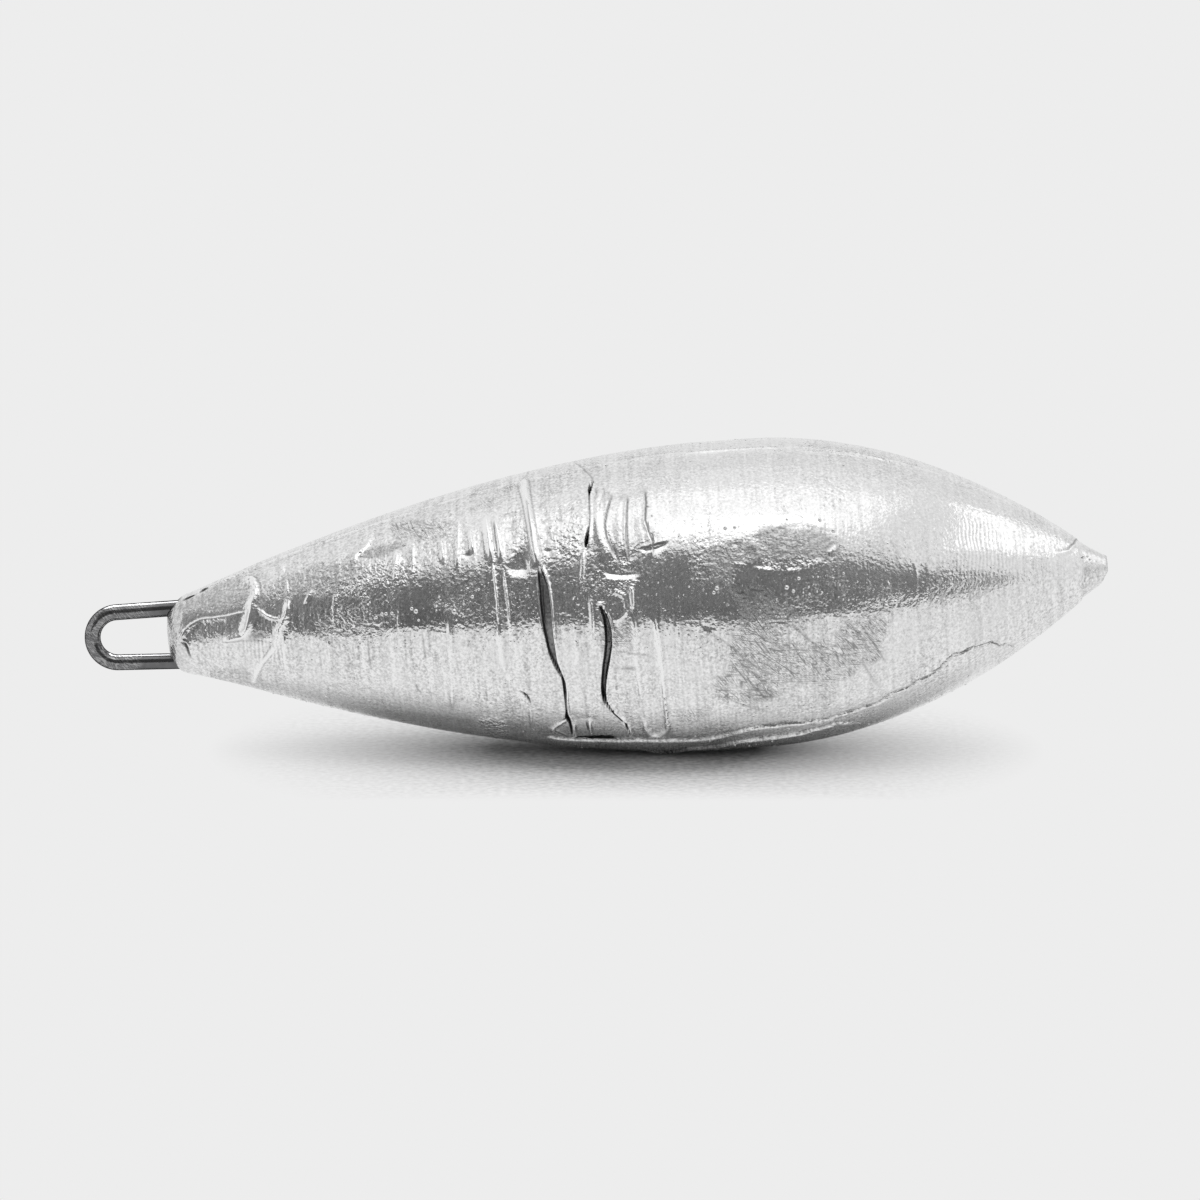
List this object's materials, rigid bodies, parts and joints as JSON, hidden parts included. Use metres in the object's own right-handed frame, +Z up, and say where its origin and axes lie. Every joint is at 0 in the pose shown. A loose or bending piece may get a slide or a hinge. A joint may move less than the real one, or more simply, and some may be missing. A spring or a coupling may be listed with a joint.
{
  "type": "fishing sinker",
  "caption": "Drop-shaped cast lead fishing sinker with a long tail, a fat belly, a short pointed nose and a wire line eye.",
  "frame": {"origin": "centre of the resting part's bounding box, at the level of the surface that it lies on", "axes": "+Z up, +X along the length towards the nose, the wire eye at the minus X end, the front of the picture towards minus Y"},
  "size_m": [0.1022, 0.0308, 0.0315],
  "materials": {
    "cast_lead": "bright raw cast lead, wrinkled, with dull pitted patches",
    "steel_wire": "dark drawn wire, semi-gloss"
  },
  "bodies": {
    "root": {"lead_body": "cast_lead", "wire_eye": "steel_wire"}
  },
  "joints": []
}
